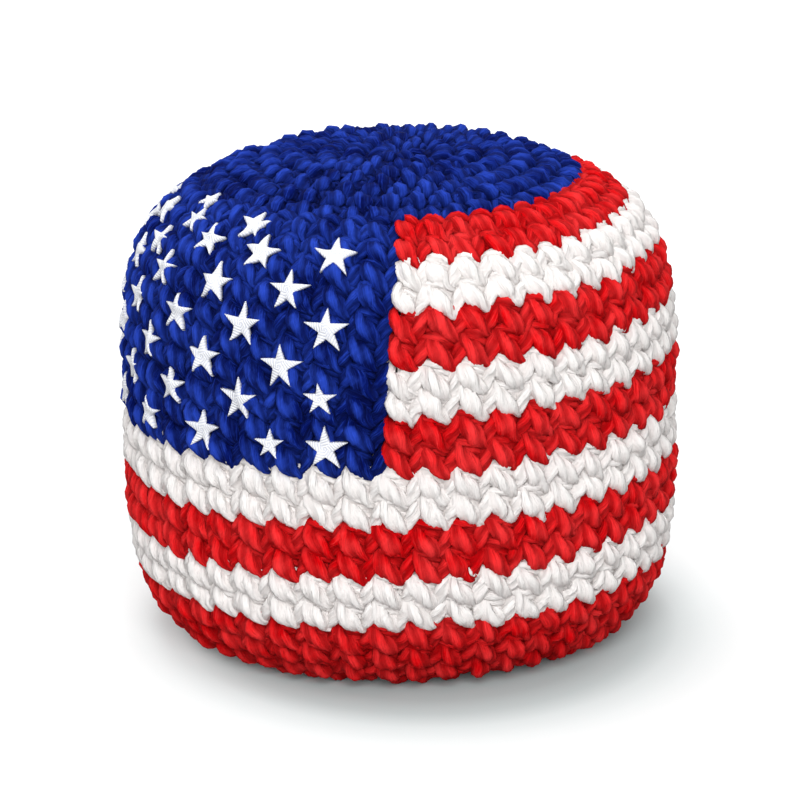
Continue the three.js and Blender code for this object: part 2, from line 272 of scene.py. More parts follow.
def stitches_in(round_):
    return min(STITCHES_AROUND, STITCHES_ADDED * (round_ + 1), STITCHES_ADDED * (ROUNDS - round_))


print("stitches in the whole cover:", sum(stitches_in(k) for k in range(ROUNDS)))

# %% [markdown]
# ## A strand of plied yarn
# Yarn is three plies twisted together, so its section is a rounded three-leafed shape that
# turns as it runs. A curve with a round bevel would lose the plies. Here the twelve points of
# each section turn with the twist, so that the grooves between plies follow the mesh's edges.
# Each point also keeps how deep in the fabric it lies, because the finish paints shade and
# highlight by it.

# %% Sections round a strand
SECTION_SIDES = 12
TWIST_LENGTH = 9.0


def transported(tangents, first):
    """Carries a direction along each strand without letting it spin."""
    sides = np.empty_like(tangents)
    side = first
    for i in range(tangents.shape[1]):
        tangent = tangents[:, i]
        side = side - tangent * (side * tangent).sum(-1, keepdims=True)
        side = side / np.maximum(np.linalg.norm(side, axis=-1, keepdims=True), 1e-9)
        sides[:, i] = side
    return sides


def strand_skins(centres, radii, outward, phase, section):
    """Sections round many strands at once: strands x points x sides x 3, and their lengths."""
    ahead = np.gradient(centres, axis=1)
    ahead /= np.maximum(np.linalg.norm(ahead, axis=-1, keepdims=True), 1e-9)
    side = transported(ahead, outward)
    across = np.cross(ahead, side)
    gaps = np.linalg.norm(np.diff(centres, axis=1), axis=-1)
    length = np.concatenate([np.zeros((len(centres), 1)), np.cumsum(gaps, axis=1)], axis=1)
    angle = (phase[:, None] + length / TWIST_LENGTH)[..., None] * 2 * math.pi
    angle = angle + np.arange(SECTION_SIDES) * 2 * math.pi / SECTION_SIDES
    reach = radii[..., None] * section
    skins = (
        centres[:, :, None]
        + side[:, :, None] * (np.cos(angle) * reach)[..., None]
        + across[:, :, None] * (np.sin(angle) * reach)[..., None]
    )
    return skins, length


# %% Gather strands into one object
PLIED = np.tile([0.82, 0.98, 1.04, 0.98], 3)
MAP_LENGTH = 10
MAP_SPREAD = 40
CELL_MARGIN = 0.04
CELL_FILL = 0.92
LOWEST_POINT = 0.02


def corners_of(left, right, low, high):
    """The four corners of each face on a map, in the order of its vertices."""
    pairs = ((left, low), (right, low), (right, high), (left, high))
    return np.stack([np.stack(pair, -1) for pair in pairs], axis=-2)


class YarnWork:
    """Gathers strands and turns them into one object."""

    def __init__(self, name, seed, section=PLIED):
        self.name = name
        self.section = section
        self.random = np.random.default_rng(seed)
        self.points, self.corners, self.sizes = [], [], []
        self.maps, self.strips, self.depths = [], [], []
        self.used = 0

    def add(self, centres, radii, outward, lift=0):
        """Adds strands that all have the same number of points along them."""
        phase = self.random.uniform(0, 1, len(centres))
        outward = np.broadcast_to(outward.reshape(len(centres), -1, 3), centres.shape)
        skins, length = strand_skins(centres, radii, outward[:, 0], phase, self.section)
        # The depth that each point keeps, by which the finish paints shade and highlight.
        standing = ((skins - centres[:, :, None]) * outward[:, :, None]).sum(axis=-1)
        lift = np.broadcast_to(lift, centres.shape[:2])
        self.depths.append((lift[..., None] + standing).ravel())
        self.points.append(skins.reshape(-1, 3))

        strands, along, sides = skins.shape[:3]
        index = self.used + np.arange(strands * along * sides).reshape(strands, along, sides)
        self.used += index.size
        after = np.roll(index, -1, axis=2)
        quads = np.stack([index[:, :-1], after[:, :-1], after[:, 1:], index[:, 1:]], axis=-1)
        self.corners.append(quads.reshape(-1))
        self.sizes.append(np.full(strands * (along - 1) * sides, 4))

        u = np.arange(sides)[None, None, :] / sides + np.zeros((strands, along - 1, 1))
        u_next = u + 1 / sides
        offset = self.random.uniform(0, MAP_SPREAD, strands)[:, None, None]
        v = length[:, :, None] / MAP_LENGTH + offset + np.zeros((1, 1, sides))
        self.maps.append(corners_of(u, u_next, v[:, :-1], v[:, 1:]).reshape(-1, 2))
        share = np.arange(along)[None, :, None] / (along - 1) + np.zeros((strands, 1, sides))
        cells = corners_of(u, u_next, share[:, :-1], share[:, 1:])
        self.strips.append((strands, cells.reshape(strands, -1, 2)))

        for ring in (index[:, 0, ::-1], index[:, -1]):
            self.corners.append(ring.reshape(-1))
            self.sizes.append(np.full(strands, sides))
            self.maps.append(np.zeros((strands * sides, 2)) + offset.min())
            self.strips.append((0, np.full((strands, sides, 2), 0.5)))

    def baked_map(self):
        """Gives each strand its own cell of a square, so that nothing overlaps."""
        cells = sum(count for count, _ in self.strips)
        rows = math.ceil(math.sqrt(cells))
        filled, first = [], 0
        for count, uv in self.strips:
            number = first + np.arange(len(uv)) if count else np.full(len(uv), cells)
            corner = np.stack([number % rows, number // rows], -1)[:, None]
            filled.append(((corner + CELL_MARGIN + uv * CELL_FILL) / (rows + 1)).reshape(-1, 2))
            first += count
        return np.concatenate(filled)

    def made(self, material):
        """The object with all the strands, their two maps and their depths."""
        points = np.concatenate(self.points)
        points[:, 2] = np.maximum(points[:, 2], LOWEST_POINT)
        corners = np.concatenate(self.corners).astype(np.int32)
        sizes = np.concatenate(self.sizes)
        mesh = bpy.data.meshes.new(self.name)
        mesh.vertices.add(len(points))
        mesh.vertices.foreach_set("co", (points * MM).astype(np.float32).ravel())
        mesh.loops.add(len(corners))
        mesh.loops.foreach_set("vertex_index", corners)
        mesh.polygons.add(len(sizes))
        starts = np.concatenate([[0], np.cumsum(sizes)[:-1]]).astype(np.int32)
        mesh.polygons.foreach_set("loop_start", starts)
        mesh.update(calc_edges=True)
        for name, uv in (("Yarn", np.concatenate(self.maps)), ("OFBake", self.baked_map())):
            layer = mesh.uv_layers.new(name=name, do_init=False)
            layer.uv.foreach_set("vector", uv.astype(np.float32).ravel())
        mesh.uv_layers.active = mesh.uv_layers["Yarn"]
        depth = mesh.attributes.new("depth", "FLOAT", "POINT")
        depth.data.foreach_set("value", np.concatenate(self.depths).astype(np.float32))
        mesh.shade_smooth()
        return placed(self.name, mesh, material)


# %% [markdown]
# ## One single crochet stitch
# From outside, a single crochet shows as a V. The yarn comes out of a hole under the round
# below's chain, the two legs open upwards and their ends go under the next round. The tip sits
# right of the middle, so the left leg is long and slanting and the right one short and steep.
# Each leg is a short list of places on the crochet map, smoothed into a curve. In the crown the
# stitches are plumper and stand in ridges, and round the base they lie flatter.

# %% The legs of a stitch
LEFT_LEG = {
    "across": [0.80, 0.81, 0.80, 0.67, 0.47, 0.25, 0.07, -0.04],
    "up": [0.08, -0.18, -0.39, -0.23, 0.03, 0.33, 0.68, 1.18],
    "lift": [-2.9, -2.1, -1.15, -0.90, -0.74, -0.76, -1.10, -2.1],
    "radius": [0.40, 0.32, 0.32, 0.64, 1.00, 1.06, 0.74, 0.36],
}
RIGHT_LEG = {
    "across": [0.80, 0.81, 0.80, 0.81, 0.865, 0.94, 1.00, 1.03],
    "up": [0.08, -0.14, -0.34, -0.15, 0.12, 0.44, 0.78, 1.20],
    "lift": [-2.9, -2.1, -1.30, -1.10, -1.05, -1.15, -1.6, -2.3],
    "radius": [0.40, 0.32, 0.32, 0.58, 0.80, 0.84, 0.64, 0.36],
}
LAST_BASE_ROUND = 9
FIRST_CROWN_ROUND = 28
ZONES = {
    "base": {"ridge": 0.0, "behind": 0.1, "plump": 1.08, "fullest": 1.05, "power": 0.5},
    "side": {"ridge": 0.2, "behind": 0.0, "plump": 1.0, "fullest": 1.05, "power": 0.5},
    "crown": {"ridge": 1.1, "behind": 0.4, "plump": 1.14, "fullest": 1.0, "power": 0.4},
}

# %% A curve through the places on a leg
def smoothed(values, count):
    """A Catmull-Rom curve through the values, for every stitch at once."""
    at = np.linspace(0, values.shape[-1] - 1, count)
    i = np.minimum(at.astype(int), values.shape[-1] - 2)
    t = at - i
    padded = np.concatenate([values[..., :1], values, values[..., -1:]], axis=-1)
    a, b, c, d = (padded[..., i + k] for k in range(4))
    return 0.5 * (
        2 * b + (c - a) * t + (2 * a - 5 * b + 4 * c - d) * t**2 + (3 * b - a - 3 * c + d) * t**3
    )


# %% How the rounds differ
LEAN = 0.05
UPRIGHT_ROUND = 23
DRIFT = 0.37


def zone_of(round_):
    if round_ >= FIRST_CROWN_ROUND:
        return ZONES["crown"]
    return ZONES["base" if round_ <= LAST_BASE_ROUND else "side"]


def leaned(turn, rounds):
    """Each round's stitches stand a little to the side of the ones below."""
    return turn + LEAN * (rounds - UPRIGHT_ROUND) / STITCHES_AROUND


def drifted(round_):
    """How far a round is turned in the base and the crown, in stitches."""
    return DRIFT * max(0, round_ - FIRST_CROWN_ROUND, LAST_BASE_ROUND - round_)


# %% [markdown]
# ## A round of stitches
# No two stitches come out alike, so each one is shifted a little, and each place on its legs
# too. Behind the legs, three strands lie along the round and close the fabric. Little light
# comes under the bag, so there the yarn also counts as lying deeper than it does, which paints
# shade on it. Legs that are set back count as lying further out than they do, for less painted
# shade.

# %% The legs of one round
LEG_POINTS = 18
STITCH_WIDTH = 3.9
STITCH_DROP = 0.13
UNEVEN = {"shift": 0.05, "rise": 0.05, "across": 0.025, "up": 0.03, "lift": 0.1, "radius": 0.05}
SET_BACK_LESS_SHADE = 1.5
UNDER_PAINTED_SHADE = 0.7
UNDER_ROUND = 12
UNDER_REACH = 3


def shaded_below(round_):
    """How much deeper the yarn counts as lying under the bag's lower corner, to paint shade there.
    """
    return UNDER_PAINTED_SHADE * min(1, max(0, (UNDER_ROUND - round_) / UNDER_REACH))


def add_legs(work, round_, first, last, edge):
    """The legs of one round's stitches, from the first to before the last."""
    number = stitches_in(round_)
    stitch = np.arange(first, last)[:, None] + drifted(round_)
    random = work.random
    middle, _ = on_bag(0.5, round_ + 0.5, 0)
    width = 2 * math.pi * math.hypot(middle[0], middle[1]) / number
    zone = zone_of(round_)
    plump = zone["plump"] * min(zone["fullest"], (width / STITCH_WIDTH) ** zone["power"])
    shift = random.normal(0, UNEVEN["shift"], (len(stitch), 1))
    rise = random.normal(0, UNEVEN["rise"], (len(stitch), 1))
    for leg, deeper in ((LEFT_LEG, 0.5 * zone["behind"]), (RIGHT_LEG, zone["behind"])):
        across, up, out, thick = (np.array(leg[key]) for key in ("across", "up", "lift", "radius"))
        wobble = random.normal(0, UNEVEN["across"], (len(stitch), len(across)))
        u = smoothed(stitch + across + shift + wobble, LEG_POINTS)
        if last - first < number:
            u = np.maximum(u, first + edge)
        v = smoothed(up + rise + random.normal(0, UNEVEN["up"], wobble.shape), LEG_POINTS)
        out = out - deeper - zone["ridge"] * (0.5 + 0.5 * np.cos(up * 2 * math.pi))
        lift = smoothed(out + random.normal(0, UNEVEN["lift"], wobble.shape), LEG_POINTS)
        thick = thick * plump * random.normal(1, UNEVEN["radius"], wobble.shape)
        rounds = round_ + v - STITCH_DROP
        centres, outward = on_bag(leaned(u / number, rounds), rounds, lift)
        # The depth kept for the finish: legs set back get less painted shade and more painted
        # highlight, and under the bag more painted shade.
        tone = lift + SET_BACK_LESS_SHADE * deeper - shaded_below(round_)
        work.add(centres, smoothed(thick, LEG_POINTS), outward, tone)


# %% The strands behind the legs
COURSES = ((0.84, -1.4, 0.76), (0.5, -1.7, 0.74), (0.18, -1.75, 0.72))
COURSE_SWING = {"up": 0.05, "lift": 0.16, "radius": 0.12}
COURSE_STEPS = 6
COURSE_TRIM = 0.3
CROWN_COURSE_DEPTH = 0.8


def add_courses(work, round_, first, last):
    """The strands that lie along a round, behind its legs."""
    number = stitches_in(round_)
    trim = COURSE_TRIM if last - first < number else 0
    u = np.linspace(first + trim, last - trim, (last - first) * COURSE_STEPS + 1)
    swing = np.cos((u - 0.4) * 2 * math.pi)
    u = u + drifted(round_)
    sunk = CROWN_COURSE_DEPTH if round_ >= FIRST_CROWN_ROUND else 0.0
    for up, depth, thickness in COURSES:
        rounds = round_ + up - STITCH_DROP + COURSE_SWING["up"] * swing
        lift = depth - sunk + COURSE_SWING["lift"] * swing
        radii = thickness + COURSE_SWING["radius"] * swing
        centres, outward = on_bag(leaned(u / number, rounds), rounds, lift)
        work.add(centres[None], radii[None], outward[None], lift[None])


# %% [markdown]
# ## The yarn's finish
# Soft cotton yarn is matt, with a halo of tiny fibres. Its plies show as slanting lines, with
# painted shade in the grooves between them, and no two stitches have quite the same tone. The
# finish mixes three shades by a soft noise and adds fine fibres that run along the yarn. Where
# strands meet, little light gets in, and painted shade deepens the colour there, while a painted
# highlight brightens the crests. Both come from the depth that each point keeps, so they hold
# from every side.

# %% Yarn finishes
PAINTED_SHADE_PER_MM = 0.25
PAINTED_SHADE_AT_OUTLINE = 0.9


def yarn_finish(name, deep_and_shade, body, bright_and_highlight, hollow_painted_shade=0.0, crest_painted_highlight=0.0):
    finish = Finish(name)
    place = finish.node("ShaderNodeUVMap", {"uv_map": "Yarn"})
    around = finish.node("ShaderNodeSeparateXYZ", None, {0: place})
    solid = finish.node("ShaderNodeTexCoord", output="Object")
    blotch = finish.noise(solid, 260.0, 3.0, 0.55)
    fibre = finish.noise(finish.stretched(place, (30.0, 6.0, 1.0)), 1.0, 3.0, 0.65)
    fleck = finish.noise(finish.stretched(place, (60.0, 14.0, 1.0)), 1.0, 2.0, 0.5)
    groove = (around * (6 * math.pi)).cosine()
    groove = finish.ramp(groove * 0.5 + 0.5, (0.35, 0.0), (1.0, 1.0))
    shade = finish.mix(finish.ramp(blotch, (0.38, 0.0), (0.72, 0.9)), body, bright_and_highlight)
    shade = finish.mix(finish.ramp(fibre, (0.5, 0.0), (0.72, 0.8)), shade, bright_and_highlight)
    shade = finish.mix(finish.ramp(fibre, (0.28, 0.7), (0.46, 0.0)), shade, deep_and_shade)
    # Painted shade in the grooves between the plies.
    shade = finish.mix(groove * 0.6, shade, deep_and_shade)
    depth = finish.node("ShaderNodeAttribute", {"attribute_name": "depth"}, output="Fac")
    depth = depth * PAINTED_SHADE_PER_MM + PAINTED_SHADE_AT_OUTLINE
    # Painted highlight on the crests and painted shade in the hollows, both by the kept depth.
    shade = finish.mix(finish.ramp(depth, (0.86, 0.0), (0.98, crest_painted_highlight)), shade, bright_and_highlight)
    shade = finish.mix(finish.ramp(depth, (0.4, hollow_painted_shade), (0.84, 0.0)), shade, deep_and_shade)
    return finish.finished(
        Base_Color=shade,
        Roughness=finish.ramp(fleck, (0.3, 0.78), (0.7, 0.95)),
        Normal=finish.bump(0.85, 0.0004, fibre * 0.7 + fleck * 0.5 - groove * 0.7),
        Specular_IOR_Level=0.07,
    )


YARNS = {
    "blue": yarn_finish("blue yarn", (0.000, 0.001, 0.030, 1), (0.000, 0.006, 0.120, 1),
                        (0.024, 0.072, 0.560, 1), hollow_painted_shade=1.0, crest_painted_highlight=0.7),
    "red": yarn_finish("red yarn", (0.25, 0.000, 0.001, 1), (0.75, 0.000, 0.003, 1),
                       (0.95, 0.045, 0.047, 1), hollow_painted_shade=1.0, crest_painted_highlight=0.5),
    "white": yarn_finish("white yarn", (0.86, 0.81, 0.79, 1), (0.91, 0.875, 0.86, 1),
                         (0.93, 0.91, 0.89, 1), hollow_painted_shade=0.7, crest_painted_highlight=0.2),
}
print("yarns:", ", ".join(YARNS))

# %% [markdown]
# ## The colour bands
# Each colour is its own length of yarn, so each band is its own piece: a red base, the stripes
# below and beside the star field, the blue field and the blue crown. One table says which
# rounds and which share of a turn each band takes. It could be one mesh coloured by a mask, but
# then no band could be taken off or dyed by itself.

# %% Crochet every band
BANDS = [
    ("base", 0, 10, 0, 1, "red"),
    ("red_stripe_5", 10, 12, 0, 1, "red"),
    ("white_stripe_4", 12, 14, 0, 1, "white"),
    ("red_stripe_4", 14, 16, 0, 1, "red"),
    ("white_stripe_3", 16, 18, 0, 1, "white"),
    ("star_field", 18, 28, 0, 1 / 3, "blue"),
    ("red_stripe_3", 18, 20, 1 / 3, 1, "red"),
    ("white_stripe_2", 20, 22, 1 / 3, 1, "white"),
    ("red_stripe_2", 22, 24, 1 / 3, 1, "red"),
    ("white_stripe_1", 24, 26, 1 / 3, 1, "white"),
    ("red_stripe_1", 26, 28, 1 / 3, 1, "red"),
    ("crown", 28, 35, 0, 1, "blue"),
]
FIRST_SEED = 11
EDGE = 0.16
LAST_ROUND_EDGE = 0.06

bands = {}
for seed, (node, low, high, start, end, colour) in enumerate(BANDS):
    work = YarnWork(f"{node}_crochet", seed + FIRST_SEED)
    for round_ in range(low, high):
        number = stitches_in(round_)
        first, last = round(start * number), round(end * number)
        add_legs(work, round_, first, last, EDGE if round_ < high - 1 else LAST_ROUND_EDGE)
        add_courses(work, round_, first, last)
    band = work.made(YARNS[colour])
    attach(band, "root")
    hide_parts(node)
    bands[node] = band
    print(band.name, "faces:", len(band.data.polygons))

# %% [markdown]
# ## The stars
# Each star is a thin white shape fixed on the blue field. It isn't stiff: it follows the
# stitches below it in soft waves. So the field is felt with rays under each star, the heights
# are smoothed, and the star's mesh is laid on them. A flat plate would float over the hollows.

# %% Star finish
THREAD_PITCH = 0.3


def star_finish():
    finish = Finish("star thread")
    place = finish.node("ShaderNodeUVMap", {"uv_map": "Thread"})
    along = finish.node("ShaderNodeSeparateXYZ", None, {0: place})
    waver = finish.noise(place, 0.9, 2.0, 0.5) - 0.5
    turns = (along * (1 / THREAD_PITCH) + waver * 1.6) * (2 * math.pi)
    thread = turns.cosine() * 0.5 + 0.5
    fibre = finish.noise(finish.stretched(place, (9.0, 1.5, 1.0)), 1.0, 2.0, 0.5)
    shade = finish.mix(finish.ramp(thread, (0.0, 1.0), (0.4, 0.0)), (0.86, 0.87, 0.89, 1),
                       (0.60, 0.63, 0.74, 1))
    shade = finish.mix(finish.ramp(fibre, (0.3, 0.5), (0.5, 0.0)), shade, (0.76, 0.77, 0.83, 1))
    return finish.finished(
        Base_Color=shade,
        Roughness=finish.ramp(fibre, (0.3, 0.5), (0.7, 0.65)),
        Normal=finish.bump(0.6, 0.0001, thread + fibre * 0.4),
        Specular_IOR_Level=0.3,
    )


STAR_FINISH = star_finish()

# %% Feel the yarn under a star
GRID = 21
GRID_REACH = 2.8
RAY_START = 3
RAY_REACH = 6
NOTHING_FELT = -1.2

field_mesh = bands["star_field"].data
field_tree = BVHTree.FromPolygons(
    [v.co for v in field_mesh.vertices], [p.vertices[:] for p in field_mesh.polygons]
)


def neighbours(grid):
    """Nine copies of a grid: itself and one shifted to each side and corner."""
    wide = np.pad(grid, 1, mode="edge")
    return [wide[a:a + GRID, b:b + GRID] for a in range(3) for b in range(3)]


def felt_heights(seat, across, upward, outward):
    """How far out the yarn reaches, over a small square grid round a star."""
    ticks = np.linspace(-GRID_REACH, GRID_REACH, GRID)
    heights = np.full((GRID, GRID), NOTHING_FELT)
    for i, y in enumerate(ticks):
        for j, x in enumerate(ticks):
            start = Vector((seat + across * x + upward * y + outward * RAY_START) * MM)
            hit = field_tree.ray_cast(start, Vector(-outward), RAY_REACH * MM)
            if hit[0] is not None:
                heights[i, j] = RAY_START - hit[3] / MM
    heights = np.max(neighbours(heights), axis=0)
    for _ in range(2):
        heights = np.mean(neighbours(heights), axis=0)
    return heights


def looked_up(heights, x, y):
    """The heights at any places in the grid."""
    at_x = (x + GRID_REACH) / (2 * GRID_REACH) * (GRID - 1)
    at_y = (y + GRID_REACH) / (2 * GRID_REACH) * (GRID - 1)
    j = np.clip(at_x.astype(int), 0, GRID - 2)
    i = np.clip(at_y.astype(int), 0, GRID - 2)
    s, t = at_x - j, at_y - i
    low = heights[i, j] * (1 - s) + heights[i, j + 1] * s
    high = heights[i + 1, j] * (1 - s) + heights[i + 1, j + 1] * s
    return low * (1 - t) + high * t


# %% The outline of a star
STAR_WAIST = 0.37
ARM_ANGLE = 2 * math.pi / 5
TOP_ANGLE = math.pi / 2
ARM_TURNED = 0.04
ARM_REACH = (0.9, 1.05)


def star_rim(random, points_per_edge=4):
    """The outline of a star of radius 1, one point up, with hand-sewn unevenness."""
    knots = []
    for i in range(10):
        angle = TOP_ANGLE + i * ARM_ANGLE / 2 + random.normal(0, ARM_TURNED)
        reach = (1 if i % 2 == 0 else STAR_WAIST) * random.uniform(*ARM_REACH)
        knots.append((reach * math.cos(angle), reach * math.sin(angle)))
    knots = np.array(knots + knots[:1])
    share = np.arange(points_per_edge) / points_per_edge
    edges = [knots[i] + (knots[i + 1] - knots[i]) * share[:, None] for i in range(10)]
    return np.concatenate(edges)


# %% The faces of a star and its threads
STAR_RINGS = [
    (0.2, 0.26), (0.4, 0.26), (0.6, 0.25), (0.8, 0.23), (0.94, 0.18), (1.0, 0.06), (1.0, -0.3),
]
THREAD_SLANT = 0.35
ARM_SPREAD = 7


def star_faces(count):
    """A fan in the middle, rings round it and one face at the back."""
    faces = [(0, 1 + i, 1 + (i + 1) % count) for i in range(count)]
    for ring in range(len(STAR_RINGS) - 1):
        base = 1 + ring * count
        for i in range(count):
            j = (i + 1) % count
            faces.append((base + i, base + count + i, base + count + j, base + j))
    last = 1 + (len(STAR_RINGS) - 1) * count
    return faces + [tuple(reversed(range(last, last + count)))]


def map_threads(mesh, flat):
    """A map in which the threads cross each arm at a slant."""
    threads = mesh.uv_layers.new(name="Thread")
    for face in mesh.polygons:
        x, y = flat[list(face.vertices)].mean(axis=0)
        arm = round((math.atan2(y, x) - TOP_ANGLE) / ARM_ANGLE) * ARM_ANGLE + TOP_ANGLE
        axis = np.array([math.cos(arm), math.sin(arm)])
        for corner in face.loop_indices:
            at = flat[mesh.loops[corner].vertex_index]
            aside = at[1] * axis[0] - at[0] * axis[1]
            along = at.dot(axis) + THREAD_SLANT * aside
            threads.data[corner].uv = (along, aside + ARM_SPREAD * arm)


# %% One star
STAR_RADIUS = 2.5
STAR_CREST = 0.26
STAR_FOLLOWS = 0.75
A_LITTLE_ASIDE = 0.002


def star_piece(name, turn, rounds, size, random):
    here, outward = on_bag(turn, rounds, 0.0)
    beside, _ = on_bag(turn + A_LITTLE_ASIDE, rounds, 0.0)
    across = beside - here
    across -= outward * across.dot(outward)
    across /= np.linalg.norm(across)
    upward = np.cross(outward, across)
    heights = felt_heights(here, across, upward, outward)
    rim = star_rim(random) * STAR_RADIUS * size
    average = float(np.mean(looked_up(heights, rim[:, 0], rim[:, 1])))

    def laid(xy, above):
        relief = looked_up(heights, xy[:, 0], xy[:, 1])
        lift = STAR_FOLLOWS * relief + (1 - STAR_FOLLOWS) * average + above
        return here + across * xy[:, :1] + upward * xy[:, 1:] + outward * lift[:, None]

    flat = [np.zeros((1, 2))] + [rim * share for share, _ in STAR_RINGS]
    above = [STAR_CREST] + [ring[1] for ring in STAR_RINGS]
    points = np.concatenate([laid(xy, height) for xy, height in zip(flat, above)])
    mesh = bpy.data.meshes.new(name)
    mesh.from_pydata((points * MM).tolist(), [], star_faces(len(rim)))
    map_threads(mesh, np.concatenate(flat))
    mesh.shade_smooth()
    return placed(name, mesh, STAR_FINISH)


# %% [markdown]
# ## Where the stars sit
# The stars stand in staggered rows. Hand work is never quite even: the rows drop and the stars
# shrink a little towards the left, one place is empty, and some stars stand off the grid. So a
# formula gives the even places, and a short table gives the others.

# %% Lay the stars on the field
FIELD_STITCHES = 16
STAR_COLUMNS = 11
STAR_ROWS = 7
FIRST_COLUMN_DEGREES = 12.9
COLUMN_DEGREES = 9.45
LOWEST_ROW = 18.85
ROW_RISE = 1.38
COLUMN_DROP = 0.04
COLUMN_SHRINK = 0.03
SMALLEST_EVEN = 0.85
MOVED = {
    (0, 0): (0.0, 18.65, 1.0), (1, 0): (1.25, 18.65, 0.7), (0, 1): (0.1, 20.5, 0.74),
    (4, 5): (3.8, 25.75, 0.85), (6, 5): (5.85, 25.05, 0.8), (3, 6): (2.65, 26.75, 0.85),
    (5, 6): (4.95, 26.35, 0.7), (7, 6): (6.95, 26.1, 0.75), (9, 6): (9.0, 26.1, 0.75),
    (6, 7): (5.25, 27.3, 0.55),
}

star_random = np.random.default_rng(71)
places = [(0, 0)]
for row in range(STAR_ROWS):
    places += [(column, row) for column in range((row + 1) % 2, STAR_COLUMNS, 2)]
places.append((6, 7))
places.remove((1, 6))
for i, (column, row) in enumerate(places):
    even = (column, LOWEST_ROW + ROW_RISE * row - COLUMN_DROP * column,
            max(SMALLEST_EVEN, 1 - COLUMN_SHRINK * column))
    across, rounds, size = MOVED.get((column, row), even)
    turn = FIELD_STITCHES / STITCHES_AROUND - (FIRST_COLUMN_DEGREES + COLUMN_DEGREES * across) / 360
    node = f"star_{i + 1:02d}"
    star = star_piece(f"{node}_thread", turn, rounds, size, star_random)
    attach(star, "root")
    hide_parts(node)
print("stars:", len(places))

# %% [markdown]
# ## The liner
# Inside the cover, a thin cloth pouch keeps the pellets from working out between the stitches.
# It is a strip sewn into a tube on a round bottom, and its top is gathered and tied. A cloth
# simulation could gather it. As the cover hides it, its pleats are drawn as waves instead,
# which grow from the shoulder to the neck, where the whole width of the cloth has to go.

# %% The liner's outline
COVER_WALL = 3.2
LINER_GAP = 0.6
LINER_THICKNESS = 0.4
POUCH_TOP_SHARE = 0.66
NECK_RADIUS = 2.6
NECK_BASE = 44.6
NECK_HEIGHT = 3.0
GATHERS = ((0.62, 0.8), (0.3, 1.1))
INSIDE_POINTS = 240
LINER_ALONG = 96


def inside_line(inset, top_share):
    """The bag's outline moved inwards, from the middle of the base up to a share of it."""
    along = np.linspace(0, top_share * run[-1], INSIDE_POINTS)
    return np.stack(
        [np.interp(along, run, outline[:, i] - facing[:, i] * inset) for i in (0, 1)], axis=1
    )


def pouch_line(inset):
    """The pouch's outline from the middle of its bottom to the top of its neck."""
    side = inside_line(inset, POUCH_TOP_SHARE)
    wide, high = side[-1]
    rise = NECK_BASE - high
    gathered = [(wide * width, high + rise * share) for width, share in GATHERS]
    neck = [(NECK_RADIUS, NECK_BASE), (NECK_RADIUS, NECK_BASE + NECK_HEIGHT)]
    line = np.concatenate([side, gathered, neck])
    length = np.concatenate([[0], np.cumsum(np.linalg.norm(np.diff(line, axis=0), axis=1))])
    even = np.linspace(0, length[-1], LINER_ALONG)
    line = np.stack([np.interp(even, length, line[:, i]) for i in (0, 1)], axis=1)
    for _ in range(4):
        line[1:-1] = (line[:-2] + 2 * line[1:-1] + line[2:]) / 4
    return line, even


liner_line, liner_run = pouch_line(COVER_WALL + LINER_GAP)
print("length of the liner's outline in mm:", round(float(liner_run[-1]), 1))

# %% The liner's cloth
def liner_finish():
    finish = Finish("liner cloth")
    place = finish.node("ShaderNodeUVMap", {"uv_map": "Cloth"})
    warp = finish.node("ShaderNodeSeparateXYZ", None, {0: place})
    weft = finish.node("ShaderNodeSeparateXYZ", None, {0: place}, output="Y")
    over = (warp * (2 * math.pi)).cosine()
    under = (weft * (2 * math.pi)).cosine()
    weave = over * under * 0.5 + 0.5
    slub = finish.noise(finish.stretched(place, (0.5, 0.06, 1.0)), 1.0, 3.0, 0.6)
    shade = finish.mix(weave, (0.52, 0.47, 0.38, 1), (0.73, 0.69, 0.60, 1))
    shade = finish.mix(finish.ramp(slub, (0.45, 0.0), (0.7, 0.6)), shade, (0.78, 0.75, 0.68, 1))
    return finish.finished(
        Base_Color=shade,
        Roughness=finish.ramp(slub, (0.3, 0.8), (0.7, 0.95)),
        Normal=finish.bump(0.6, 0.00015, weave + slub * 0.4),
        Specular_IOR_Level=0.15,
    )


# %% The liner's pleats
PLEATS = 26
LINER_AROUND = 312
PLEAT_DEPTH = 1.5
DIMPLES = 40
DIMPLE_DEPTH = 0.12


def liner_skin(inset):
    """Rows of points up the pouch, with its pleats and the pellets' soft dimples."""
    line, _ = pouch_line(inset)
    ahead = np.gradient(line, axis=0)
    ahead /= np.linalg.norm(ahead, axis=1)[:, None]
    inward = np.stack([-ahead[:, 1], ahead[:, 0]], axis=1)
    above = line[:, 1] > COVER_HEIGHT / 2
    fullness = np.where(above, 1 - line[:, 0] / line[:, 0].max(), 0)
    depth = np.minimum(PLEAT_DEPTH * fullness, 0.12 * line[:, 0] + 0.1)
    angle = np.arange(LINER_AROUND) * 2 * math.pi / LINER_AROUND
    uneven = 0.5 * np.sin(3 * angle + 1) + 0.35 * np.sin(7 * angle + 2)
    fold = 0.5 - 0.5 * np.cos(PLEATS * angle + uneven)
    dimple = 0.5 + 0.5 * np.sin(DIMPLES * angle + np.arange(LINER_ALONG)[:, None] * 1.9)
    press = np.clip(line[:, :1] / 20, 0, 1) * DIMPLE_DEPTH
    reach = depth[:, None] * fold * (0.85 + 0.15 * np.sin(5 * angle)) + press * dimple
    radius = line[:, :1] + inward[:, :1] * reach
    height = line[:, 1:] + inward[:, 1:] * reach
    turned = angle + SEAM
    return np.stack(
        [radius * np.sin(turned), -radius * np.cos(turned), np.broadcast_to(height, radius.shape)],
        axis=-1,
    )


# %% Sew the liner
CLOTH_THREAD = 0.35
INNER_SIDE_OFFSET = 200

